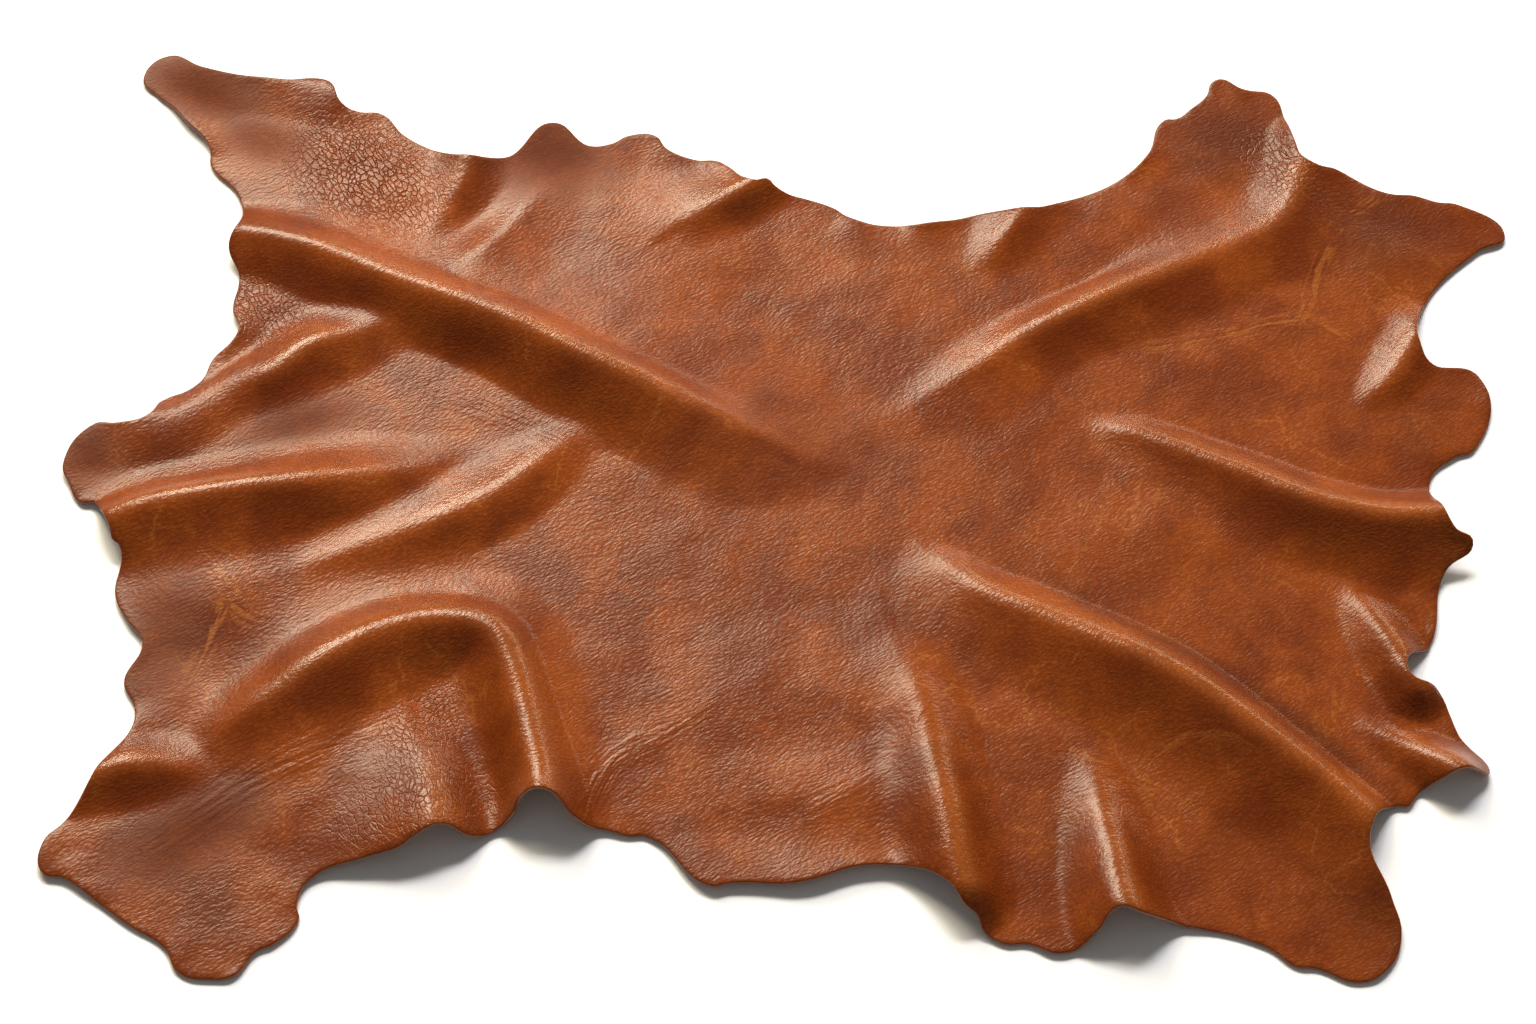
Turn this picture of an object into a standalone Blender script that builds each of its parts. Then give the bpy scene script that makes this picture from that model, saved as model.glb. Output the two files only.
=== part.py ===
"""Whole tanned leather hide lying loosely on a flat surface, grain side up.

The hide is one piece of leather with its four shanks at the corners. It rests flat on its
shanks, edges and hollows, and loose folds rise between them. Units are metres and +Z is up.
The origin is on the surface the hide rests on, under the middle of its bounding box.
"""
import bmesh
import bpy
import numpy as np

MM = 0.001

# Driving dimensions
THICKNESS = 0.003
CUT_SPAN_X = 1.06
CUT_SPAN_Y = 0.78
CUT_PITCH = 0.0065
OUTLINE_STEPS = 3
SHORTEST_EDGE = 0.0014
CREST_STEP = 2.0
SMOOTH_ROUNDS = 3
SETTLED_HEIGHT = 0.5
SETTLED_EASE = 1.6
KEPT_SHARE = 0.19
REST_SNAP = 0.0003

# Outline of the hide as it lies, seen from above, clockwise in millimetres from the tip of
# the far left shank. "Far" is towards +Y and "near" is towards -Y.
OUTLINE = {
    "far_left_shank": (
        (-491, 355), (-473, 377), (-446, 364), (-387, 352), (-350, 350), (-340, 332),
        (-328, 325), (-309, 323),
    ),
    "far_flank_left": (
        (-292, 304), (-261, 286), (-241, 279), (-222, 281), (-212, 285), (-181, 315),
        (-153, 294), (-137, 295), (-125, 302), (-104, 302), (-96, 291), (-74, 281),
        (-58, 279), (-50, 273), (-32, 256), (-21, 258), (-16, 254),
    ),
    "far_flank_right": (
        (28, 238), (40, 229), (69, 222), (115, 227), (134, 232), (175, 235), (196, 242),
        (236, 260), (261, 285), (276, 318), (285, 319), (296, 328), (309, 341),
    ),
    "far_right_shank": (
        (313, 352), (320, 355), (336, 346), (358, 341), (366, 318), (371, 293),
        (376, 277), (386, 271), (399, 270), (439, 250), (457, 248), (473, 242),
        (487, 240), (520, 212), (499, 199), (453, 146),
    ),
    "right_end": (
        (449, 111), (454, 103), (489, 92), (480, 30), (466, 24), (448, 8), (446, -15),
        (456, -44), (469, -52), (450, -70), (434, -128), (416, -143), (419, -158),
        (433, -163), (450, -201),
    ),
    "near_right_shank": (
        (464, -227), (455, -229), (437, -233), (418, -238), (409, -249), (401, -249),
        (380, -274), (392, -318), (397, -342), (385, -368), (366, -376), (338, -366),
        (326, -365), (307, -351), (249, -337), (225, -338),
    ),
    "near_flank_right": (
        (208, -334), (197, -345), (170, -356), (150, -349), (135, -349), (120, -339),
        (117, -332), (108, -326), (99, -313), (81, -300), (48, -295), (1, -307),
        (-46, -307),
    ),
    "near_flank_left": (
        (-58, -309), (-102, -271), (-114, -271), (-130, -267), (-150, -266),
        (-166, -253), (-186, -255), (-188, -260), (-194, -263), (-222, -275),
        (-235, -272), (-255, -280), (-264, -285), (-285, -290), (-324, -303),
        (-332, -321),
    ),
    "near_left_shank": (
        (-330, -331), (-345, -349), (-356, -354), (-370, -372), (-383, -374),
        (-407, -369), (-417, -352), (-443, -335), (-479, -308), (-488, -302),
        (-503, -298), (-504, -275), (-493, -262), (-475, -231), (-452, -189),
        (-452, -175),
    ),
    "left_end": (
        (-461, -155), (-451, -125), (-463, -108), (-473, -87), (-472, -51), (-477, -47),
        (-479, -39), (-486, -27), (-495, -14), (-503, -14), (-514, 3), (-519, 17),
        (-499, 48), (-483, 49), (-460, 57), (-454, 70), (-432, 81), (-425, 91),
        (-420, 106), (-407, 121),
    ),
    "far_left_neck": (
        (-403, 132), (-408, 146), (-406, 179), (-414, 200), (-407, 221), (-412, 249),
        (-434, 276), (-436, 291), (-456, 315), (-467, 329), (-479, 340),
    ),
}

# Folds, one row for each place on a crest: x and y of the crest, its height over the resting
# surface, how far the fold reaches on its near side and on its far side, and the radius that the
# crest bends to, all in millimetres. Each crest runs from left to right, with its far side on the
# left of the way it runs.
FOLDS = {
    "far_left_ridge": (
        (-432, 217, 6, 34, 28, 9),
        (-361, 199, 9, 44, 28, 9),
        (-285, 163, 11, 46, 28, 9),
        (-212, 131, 12, 48, 28, 9),
        (-140, 91, 13, 54, 29, 9),
        (-68, 54, 10, 60, 31, 11),
        (-33, 36, 6, 64, 34, 12),
        (4, 25, 2, 60, 34, 12),
        (30, 20, 0, 50, 30, 12),
    ),
    "far_right_ridge": (
        (12, 36, 0, 60, 36, 14),
        (48, 50, 1, 80, 44, 14),
        (82, 67, 3, 90, 46, 13),
        (126, 95, 7, 80, 44, 13),
        (176, 129, 12, 60, 34, 11),
        (232, 158, 14, 60, 28, 11),
        (307, 194, 10, 66, 56, 18),
        (355, 223, 11, 60, 56, 16),
        (376, 269, 13, 48, 44, 12),
        (382, 296, 13, 46, 44, 12),
    ),
    "near_right_ridge": (
        (86, -44, 0, 56, 34, 12),
        (126, -86, 13, 64, 34, 11),
        (176, -115, 21, 74, 36, 11),
        (251, -156, 29, 76, 36, 11),
        (322, -212, 27, 82, 30, 10),
        (365, -251, 23, 72, 28, 10),
        (399, -291, 19, 60, 32, 13),
    ),
    "right_end_ridge": (
        (205, 54, 0, 34, 28, 7),
        (246, 39, 9, 42, 30, 6),
        (314, 5, 17, 48, 32, 6),
        (361, -21, 23, 56, 36, 6),
        (413, -34, 26, 62, 38, 6),
        (468, -34, 28, 62, 38, 6),
    ),
    "left_end_ridge": (
        (-500, -41, 8, 36, 22, 9),
        (-458, -24, 12, 48, 23, 10),
        (-405, -14, 14, 54, 24, 10),
        (-343, -4, 11, 50, 32, 12),
        (-291, 5, 6, 44, 36, 14),
        (-238, 20, 0, 34, 30, 12),
    ),
    "far_left_short_ridge": (
        (-411, 78, 0, 36, 34, 9),
        (-375, 90, 10, 44, 42, 10),
        (-350, 112, 14, 48, 46, 11),
        (-319, 124, 10, 46, 44, 12),
        (-283, 137, 0, 34, 34, 12),
    ),
    "left_slanting_ridge": (
        (-361, -75, 0, 30, 32, 12),
        (-319, -58, 5, 38, 38, 14),
        (-280, -43, 9, 44, 46, 15),
        (-245, -28, 11, 48, 50, 15),
        (-206, -5, 11, 48, 50, 15),
        (-176, 23, 7, 44, 46, 15),
        (-147, 46, 0, 34, 36, 14),
    ),
    "near_left_hook": (
        (-406, -204, 0, 44, 24, 12),
        (-380, -187, 6, 54, 34, 14),
        (-350, -168, 11, 68, 38, 16),
        (-321, -144, 13, 68, 38, 15),
        (-281, -121, 11, 52, 32, 12),
        (-243, -113, 11, 46, 27, 11),
        (-211, -121, 12, 44, 25, 11),
        (-196, -147, 14, 42, 24, 11),
        (-184, -188, 17, 34, 25, 11),
        (-175, -229, 22, 30, 30, 12),
        (-170, -259, 25, 28, 34, 13),
        (-167, -274, 26, 28, 34, 13),
    ),
    "near_left_arch": (
        (-264, -184, 0, 60, 34, 12),
        (-248, -232, 14, 84, 36, 14),
        (-242, -268, 19, 90, 36, 14),
        (-240, -290, 19, 90, 36, 14),
    ),
    "near_middle_ridge": (
        (72, -120, 0, 40, 36, 16),
        (88, -194, 10, 42, 40, 14),
        (97, -249, 16, 46, 42, 13),
        (103, -293, 19, 46, 42, 12),
        (107, -313, 19, 46, 42, 12),
    ),
    "near_right_arch": (
        (197, -206, 0, 38, 36, 12),
        (204, -262, 13, 42, 40, 11),
        (211, -315, 25, 44, 42, 11),
        (217, -341, 30, 44, 42, 10),
        (222, -361, 30, 44, 42, 10),
    ),
    "corner_curl": (
        (372, -180, 0, 24, 30, 6),
        (412, -207, 10, 26, 32, 6),
        (441, -228, 22, 26, 30, 6),
        (449, -245, 24, 26, 28, 6),
    ),
    "far_edge_crest_left": (
        (-278, 199, 0, 26, 30, 10),
        (-253, 244, 7, 34, 44, 12),
        (-240, 280, 10, 36, 46, 12),
        (-233, 300, 10, 36, 46, 12),
    ),
    "far_edge_crest_inner": (
        (-252, 182, 0, 40, 30, 12),
        (-230, 195, 5, 52, 36, 14),
        (-211, 216, 6, 54, 38, 14),
        (-193, 242, 4, 46, 36, 14),
        (-182, 266, 0, 36, 30, 12),
    ),
    "far_edge_crest_middle": (
        (-91, 214, 0, 24, 44, 8),
        (-62, 236, 9, 32, 66, 9),
        (-28, 258, 12, 34, 70, 9),
        (-15, 271, 12, 34, 70, 9),
    ),
    "far_edge_crest_right": (
        (131, 178, 0, 28, 34, 8),
        (153, 209, 8, 36, 44, 8),
        (175, 244, 9, 38, 46, 8),
    ),
    "right_notch_ridge": (
        (378, -76, 0, 26, 28, 8),
        (399, -114, 11, 34, 34, 8),
        (414, -146, 16, 32, 32, 8),
        (421, -162, 16, 32, 32, 8),
    ),
    "right_neck_ridge": (
        (399, 63, 0, 26, 30, 8),
        (429, 91, 9, 34, 40, 8),
        (451, 126, 10, 34, 40, 8),
    ),
    "left_shank_ridge": (
        (-487, -236, 10, 34, 34, 8),
        (-454, -222, 14, 42, 40, 8),
        (-420, -222, 7, 38, 36, 8),
        (-396, -228, 0, 30, 30, 8),
    ),
}

# Broad shoulders that carry some of the folds, in rows of x and y on the crest, height, and reach
# on the near side and on the far side, in millimetres.
SHOULDERS = {
    "far_left_ridge": (
        (-432, 217, 6, 38, 40),
        (-361, 199, 9, 46, 54),
        (-285, 163, 12, 48, 76),
        (-212, 131, 14, 51, 106),
        (-140, 91, 14, 60, 126),
        (-68, 54, 10, 74, 120),
        (-33, 36, 6, 80, 104),
        (4, 25, 2, 70, 80),
        (30, 20, 0, 50, 60),
    ),
    "left_end_ridge": (
        (-500, -41, 6, 44, 44),
        (-458, -24, 9, 56, 50),
        (-405, -14, 11, 62, 52),
        (-343, -4, 10, 56, 60),
        (-291, 5, 6, 50, 60),
        (-238, 20, 0, 36, 50),
    ),
    "near_left_hook": (
        (-406, -204, 0, 50, 50),
        (-380, -187, 4, 60, 56),
        (-350, -168, 8, 80, 70),
        (-321, -144, 10, 80, 78),
        (-281, -121, 10, 62, 72),
        (-243, -113, 9, 52, 66),
        (-211, -121, 9, 50, 66),
        (-199, -148, 8, 54, 66),
        (-188, -188, 8, 50, 60),
        (-177, -229, 8, 46, 56),
        (-169, -274, 10, 46, 56),
    ),
    "near_middle_ridge": (
        (62, -100, 0, 80, 40),
        (84, -194, 4, 100, 46),
        (96, -270, 6, 110, 46),
        (104, -313, 6, 100, 46),
    ),
    "near_edge": (
        (-102, -266, 0, 20, 50),
        (-58, -308, 5, 20, 60),
        (-20, -312, 6, 20, 64),
        (30, -300, 6, 20, 60),
        (70, -296, 3, 20, 50),
    ),
    "near_left_edge": (
        (-330, -318, 2, 20, 40),
        (-290, -290, 6, 20, 54),
        (-257, -276, 7, 20, 54),
        (-215, -274, 3, 20, 40),
    ),
    "left_tip_edge": (
        (-516, 13, 0, 30, 20),
        (-507, 41, 6, 44, 20),
        (-480, 51, 8, 50, 22),
        (-439, 58, 7, 46, 22),
        (-395, 92, 4, 36, 20),
        (-365, 118, 0, 30, 20),
    ),
    "far_left_tip_edge": (
        (-487, 377, 0, 30, 20),
        (-437, 360, 4, 44, 20),
        (-379, 353, 6, 50, 20),
        (-337, 339, 5, 46, 20),
        (-307, 317, 0, 34, 20),
    ),
}

# Broad low swells: x and y of the middle, height, half length and half width in millimetres,
# and the turn of the long way from +X in degrees.
SWELLS = {
    "left_middle": (-347, -58, 3, 150, 70, 12),
    "centre": (-20, -170, 4, 200, 120, 20),
    "left_end": (-399, -84, 7, 100, 74, 0),
    "right_middle": (268, -34, 3, 160, 80, 10),
    "far_middle": (-115, 220, 5, 170, 70, -20),
    "far_right": (239, 229, 3, 120, 60, 25),
    "near_middle": (21, -243, 4, 110, 60, 5),
    "near_left": (-315, -236, 5, 120, 60, 20),
    "far_right_shank": (420, 193, 4, 90, 60, -20),
}

LEATHER_COLOUR = (0.27, 0.085, 0.028, 1.0)
LEATHER_ROUGHNESS = 0.5


def clear_scene():
    """Remove every object that the file holds."""
    for thing in list(bpy.data.objects):
        bpy.data.objects.remove(thing, do_unlink=True)


def new_collection(name):
    """Make a collection and hang it under the scene."""
    collection = bpy.data.collections.new(name)
    bpy.context.scene.collection.children.link(collection)
    return collection


def leather_material():
    """Cognac brown leather with a soft sheen."""
    material = bpy.data.materials.new("cognac_leather")
    material.use_nodes = True
    shader = material.node_tree.nodes["Principled BSDF"]
    shader.inputs["Base Color"].default_value = LEATHER_COLOUR
    shader.inputs["Roughness"].default_value = LEATHER_ROUGHNESS
    shader.inputs["Metallic"].default_value = 0.0
    return material


def crest_samples(rows):
    """Run a smooth curve through a fold's rows and return its rows every few millimetres."""
    table = np.array(rows, dtype=float)
    before = 2 * table[0] - table[1]
    after = 2 * table[-1] - table[-2]
    table = np.vstack([before, table, after])
    samples = []
    for first, start, end, last in zip(table, table[1:], table[2:], table[3:]):
        length = np.hypot(*(end - start)[:2])
        steps = max(2, round(length / CREST_STEP))
        t = np.arange(steps)[:, None] / steps
        linear = (end - first) * t
        square = (2 * first - 5 * start + 4 * end - last) * t ** 2
        cube = (3 * start - first - 3 * end + last) * t ** 3
        samples.append(start + (linear + square + cube) / 2)
    return np.vstack(samples)


def fold_section(share, height, reach, radius):
    """Height across a fold at a share of its reach: a round crest, then a flank easing out flat."""
    wanted = 2 * height * radius / reach ** 2
    roundness = np.clip(wanted, 0.02, 0.49)
    bend = roundness / np.sqrt(1 - 2 * roundness)
    fallen = (np.sqrt(share ** 2 + bend ** 2) - bend) / (np.sqrt(1 + bend ** 2) - bend)
    return height * (1 - fallen) ** 2


def fold_height(x, y, rows):
    """Height of one fold over the places x, y; a row without a crest radius is a soft shoulder."""
    crest = crest_samples(rows)
    crest_x, crest_y, crest_height, near_reach, far_reach = crest.T[:5]
    crest_height = np.clip(crest_height, 0, None)
    way_x = np.gradient(crest_x)
    way_y = np.gradient(crest_y)
    widest = crest[:, 3:5].max()
    nearby = (x > crest_x.min() - widest) & (x < crest_x.max() + widest)
    nearby &= (y > crest_y.min() - widest) & (y < crest_y.max() + widest)
    height = np.zeros_like(x)
    for place in np.array_split(np.flatnonzero(nearby), 20):
        away_x = x[place, None] - crest_x
        away_y = y[place, None] - crest_y
        on_far_side = way_x * away_y - way_y * away_x > 0
        reach = np.where(on_far_side, far_reach, near_reach)
        share = np.clip(np.hypot(away_x, away_y) / reach, 0, 1)
        if crest.shape[1] > 5:
            section = fold_section(share, crest_height, reach, crest[:, 5])
        else:
            section = crest_height * np.cos(share * np.pi / 2) ** 2
        height[place] = section.max(axis=1)
    return height


def swell_height(x, y, swell):
    """Height of one broad oval swell over the places x, y."""
    middle_x, middle_y, crown, half_length, half_width, turn = swell
    angle = np.radians(turn)
    along = (x - middle_x) * np.cos(angle) + (y - middle_y) * np.sin(angle)
    across = (y - middle_y) * np.cos(angle) - (x - middle_x) * np.sin(angle)
    share = np.clip(np.hypot(along / half_length, across / half_width), 0, 1)
    return crown * np.cos(share * np.pi / 2) ** 2


def underside_height(x, y):
    """Height of the underside at x, y in millimetres: where two folds meet, the higher one leads."""
    height = np.zeros_like(x)
    for table in (FOLDS, SHOULDERS):
        cubes = np.zeros_like(x)
        for rows in table.values():
            cubes += fold_height(x, y, rows) ** 3
        height += np.cbrt(cubes)
    for swell in SWELLS.values():
        height += swell_height(x, y, swell)
    risen = np.clip(height - SETTLED_HEIGHT, 0, None)
    return np.where(risen < SETTLED_EASE, risen ** 2 / (2 * SETTLED_EASE), risen - SETTLED_EASE / 2)


def outline_face():
    """Fill the outline, one smooth closed curve through all its points, and return its mesh."""
    points = [point for stretch in OUTLINE.values() for point in stretch]
    curve = bpy.data.curves.new("hide_outline", "CURVE")
    curve.dimensions = "2D"
    curve.fill_mode = "BOTH"
    curve.resolution_u = OUTLINE_STEPS
    spline = curve.splines.new("BEZIER")
    spline.use_cyclic_u = True
    spline.bezier_points.add(len(points) - 1)
    for bezier, (x, y) in zip(spline.bezier_points, points):
        bezier.co = (x * MM, y * MM, 0.0)
        bezier.handle_left_type = "AUTO"
        bezier.handle_right_type = "AUTO"
    holder = bpy.data.objects.new("hide_outline", curve)
    bpy.context.scene.collection.objects.link(holder)
    bpy.context.view_layer.update()
    evaluated = holder.evaluated_get(bpy.context.evaluated_depsgraph_get())
    mesh = bpy.data.meshes.new_from_object(evaluated)
    bpy.data.objects.remove(holder, do_unlink=True)
    return mesh


def cut_across(shape, span, axis):
    """Cut the flat sheet by evenly spaced lines that stand square to one axis."""
    for place in np.arange(-span / 2, span / 2, CUT_PITCH):
        point = [0.0, 0.0, 0.0]
        point[axis] = place
        normal = [0.0, 0.0, 0.0]
        normal[axis] = 1.0
        everything = shape.verts[:] + shape.edges[:] + shape.faces[:]
        bmesh.ops.bisect_plane(shape, geom=everything, plane_co=point, plane_no=normal)


def flat_sheet(mesh):
    """Turn the filled outline into a fine net of small triangles, lying flat and facing up."""
    shape = bmesh.new()
    shape.from_mesh(mesh)
    bmesh.ops.remove_doubles(shape, verts=shape.verts[:], dist=SHORTEST_EDGE / 10)
    bmesh.ops.dissolve_faces(shape, faces=shape.faces[:])
    cut_across(shape, CUT_SPAN_X, 0)
    cut_across(shape, CUT_SPAN_Y, 1)
    bmesh.ops.remove_doubles(shape, verts=shape.verts[:], dist=SHORTEST_EDGE)
    bmesh.ops.triangulate(shape, faces=shape.faces[:])
    bmesh.ops.recalc_face_normals(shape, faces=shape.faces[:])
    if sum(face.normal.z for face in shape.faces) < 0:
        bmesh.ops.reverse_faces(shape, faces=shape.faces[:])
    return shape


def raise_folds(shape):
    """Lift the net onto the folds and soften them, with the resting places kept at zero."""
    flat_places = np.array([vert.co.to_tuple() for vert in shape.verts]) / MM
    heights = underside_height(flat_places[:, 0], flat_places[:, 1])
    for vert, height in zip(shape.verts, heights):
        vert.co.z = height * MM
    raised = [vert for vert in shape.verts if vert.co.z > 0]
    for _ in range(SMOOTH_ROUNDS):
        bmesh.ops.smooth_vert(shape, verts=raised, factor=0.5, use_axis_z=True)


def centre_on_origin(shape):
    """Move the net so that its bounding box stands over the origin."""
    places = np.array([vert.co.to_tuple() for vert in shape.verts])
    middle = (places.min(axis=0) + places.max(axis=0)) / 2
    bmesh.ops.translate(shape, verts=shape.verts[:], vec=(-middle[0], -middle[1], 0.0))


def thinned_out(mesh):
    """Keep only the triangles that the folds need, and lay what rests on the surface on it."""
    net = bpy.data.objects.new("net", mesh)
    bpy.context.scene.collection.objects.link(net)
    thin_out = net.modifiers.new("thin_out", "DECIMATE")
    thin_out.ratio = KEPT_SHARE
    bpy.context.view_layer.update()
    evaluated = net.evaluated_get(bpy.context.evaluated_depsgraph_get())
    thin_mesh = bpy.data.meshes.new_from_object(evaluated)
    bpy.data.objects.remove(net, do_unlink=True)
    for vert in thin_mesh.vertices:
        if vert.co.z < REST_SNAP:
            vert.co.z = 0.0
    return thin_mesh


def build_hide(collection):
    """One sheet of leather on its folds, its thickness added upwards from the underside."""
    mesh = outline_face()
    shape = flat_sheet(mesh)
    raise_folds(shape)
    centre_on_origin(shape)
    shape.to_mesh(mesh)
    shape.free()
    mesh = thinned_out(mesh)
    mesh.name = "hide"
    mesh.materials.clear()
    mesh.materials.append(leather_material())
    mesh.shade_smooth()
    hide = bpy.data.objects.new("hide", mesh)
    collection.objects.link(hide)
    leather = hide.modifiers.new("leather", "SOLIDIFY")
    leather.thickness = THICKNESS
    leather.offset = 1.0
    return hide


def main():
    clear_scene()
    build_hide(new_collection("leather_hide"))


main()
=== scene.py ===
"""Whole tanned leather hide lying loosely on a pale floor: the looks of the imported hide."""
import math

import bpy
import numpy as np
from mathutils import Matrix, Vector, geometry, noise


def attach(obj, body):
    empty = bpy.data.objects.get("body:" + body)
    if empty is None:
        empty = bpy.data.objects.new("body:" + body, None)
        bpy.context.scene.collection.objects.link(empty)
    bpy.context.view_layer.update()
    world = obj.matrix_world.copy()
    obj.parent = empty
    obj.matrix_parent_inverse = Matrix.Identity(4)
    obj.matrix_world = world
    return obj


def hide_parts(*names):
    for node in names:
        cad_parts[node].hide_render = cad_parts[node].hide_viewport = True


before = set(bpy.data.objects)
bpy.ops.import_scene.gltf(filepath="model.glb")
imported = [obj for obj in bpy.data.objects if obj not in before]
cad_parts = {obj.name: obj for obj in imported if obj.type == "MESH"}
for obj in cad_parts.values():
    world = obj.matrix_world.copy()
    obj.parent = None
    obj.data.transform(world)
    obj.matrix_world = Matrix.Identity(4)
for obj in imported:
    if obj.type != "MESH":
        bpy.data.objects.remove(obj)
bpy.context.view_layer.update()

MM = 0.001

# The sheet, in millimetres
LEATHER_THICKNESS = 3.0
NET_PITCH = 4.0
RIM_PITCH = 3.2
RIM_ROUND = 1.1
CREST_STEP = 2.0

# Places of the cut edge and the flesh side in the sheet's list of materials
RIM_SLOT = 1
FLESH_SLOT = 2

# Folds lower than this lie down on the floor, and higher ones ease out of it
SETTLED_HEIGHT = 0.5
SETTLED_EASE = 1.6

# Its unevenness: size and height of long and short waves, and of the curls that lift its rim
LONG_WAVE = (70, 55)
LONG_WAVE_HEIGHT = 0.9
SHORT_WAVE = (24, 20)
SHORT_WAVE_HEIGHT = 0.35
RIM_WAVE = (38, 38)
RIM_LIFT = 5.0
RIM_LIFT_REACH = 12

# Grain is drawn out over a crest of this height or more, this far to its far side and this wide
CREST_FULL_HEIGHT = 13
CREST_PULL_SHIFT = 3
CREST_PULL_WIDTH = 10

# Lines and crests act this far to each side, and the patterns of two of them start this far apart
LINE_REACH = 60
PATTERN_GAP = 40.0

# The net is worked through in this many batches, to spare memory
FOLD_BATCHES = 60
RIM_BATCHES = 80

# Outline of the hide as it lies, seen from above, clockwise in millimetres from the tip of
# the far left shank. "Far" is towards +Y and "near" is towards -Y.
OUTLINE = {
    "far_left_shank": (
        (-491, 355), (-473, 377), (-446, 364), (-387, 352), (-350, 350), (-340, 332),
        (-328, 325), (-309, 323),
    ),
    "far_flank_left": (
        (-292, 304), (-261, 286), (-241, 279), (-222, 281), (-212, 285), (-181, 315),
        (-153, 294), (-137, 295), (-125, 302), (-104, 302), (-96, 291), (-74, 281),
        (-58, 279), (-50, 273), (-32, 256), (-21, 258), (-16, 254),
    ),
    "far_flank_right": (
        (28, 238), (40, 229), (69, 222), (115, 227), (134, 232), (175, 235), (196, 242),
        (236, 260), (261, 285), (276, 318), (285, 319), (296, 328), (309, 341),
    ),
    "far_right_shank": (
        (313, 352), (320, 355), (336, 346), (358, 341), (366, 318), (371, 293),
        (376, 277), (386, 271), (399, 270), (439, 250), (457, 248), (473, 242),
        (487, 240), (520, 212), (499, 199), (453, 146),
    ),
    "right_end": (
        (449, 111), (454, 103), (489, 92), (480, 30), (466, 24), (448, 8), (446, -15),
        (456, -44), (469, -52), (450, -70), (434, -128), (416, -143), (419, -158),
        (433, -163), (450, -201),
    ),
    "near_right_shank": (
        (464, -227), (455, -229), (437, -233), (418, -238), (409, -249), (401, -249),
        (380, -274), (392, -318), (397, -342), (385, -368), (366, -376), (338, -366),
        (326, -365), (307, -351), (249, -337), (225, -338),
    ),
    "near_flank_right": (
        (208, -334), (197, -345), (170, -356), (150, -349), (135, -349), (120, -339),
        (117, -332), (108, -326), (99, -313), (81, -300), (48, -295), (1, -307),
        (-46, -307),
    ),
    "near_flank_left": (
        (-58, -309), (-102, -271), (-114, -271), (-130, -267), (-150, -266),
        (-166, -253), (-186, -255), (-188, -260), (-194, -263), (-222, -275),
        (-235, -272), (-255, -280), (-264, -285), (-285, -290), (-324, -303),
        (-332, -321),
    ),
    "near_left_shank": (
        (-330, -331), (-345, -349), (-356, -354), (-370, -372), (-383, -374),
        (-407, -369), (-417, -352), (-443, -335), (-479, -308), (-488, -302),
        (-503, -298), (-504, -275), (-493, -262), (-475, -231), (-452, -189),
        (-452, -175),
    ),
    "left_end": (
        (-461, -155), (-451, -125), (-463, -108), (-473, -87), (-472, -51), (-477, -47),
        (-479, -39), (-486, -27), (-495, -14), (-503, -14), (-514, 3), (-519, 17),
        (-499, 48), (-483, 49), (-460, 57), (-454, 70), (-432, 81), (-425, 91),
        (-420, 106), (-407, 121),
    ),
    "far_left_neck": (
        (-403, 132), (-408, 146), (-406, 179), (-414, 200), (-407, 221), (-412, 249),
        (-434, 276), (-436, 291), (-456, 315), (-467, 329), (-479, 340),
    ),
}

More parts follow.
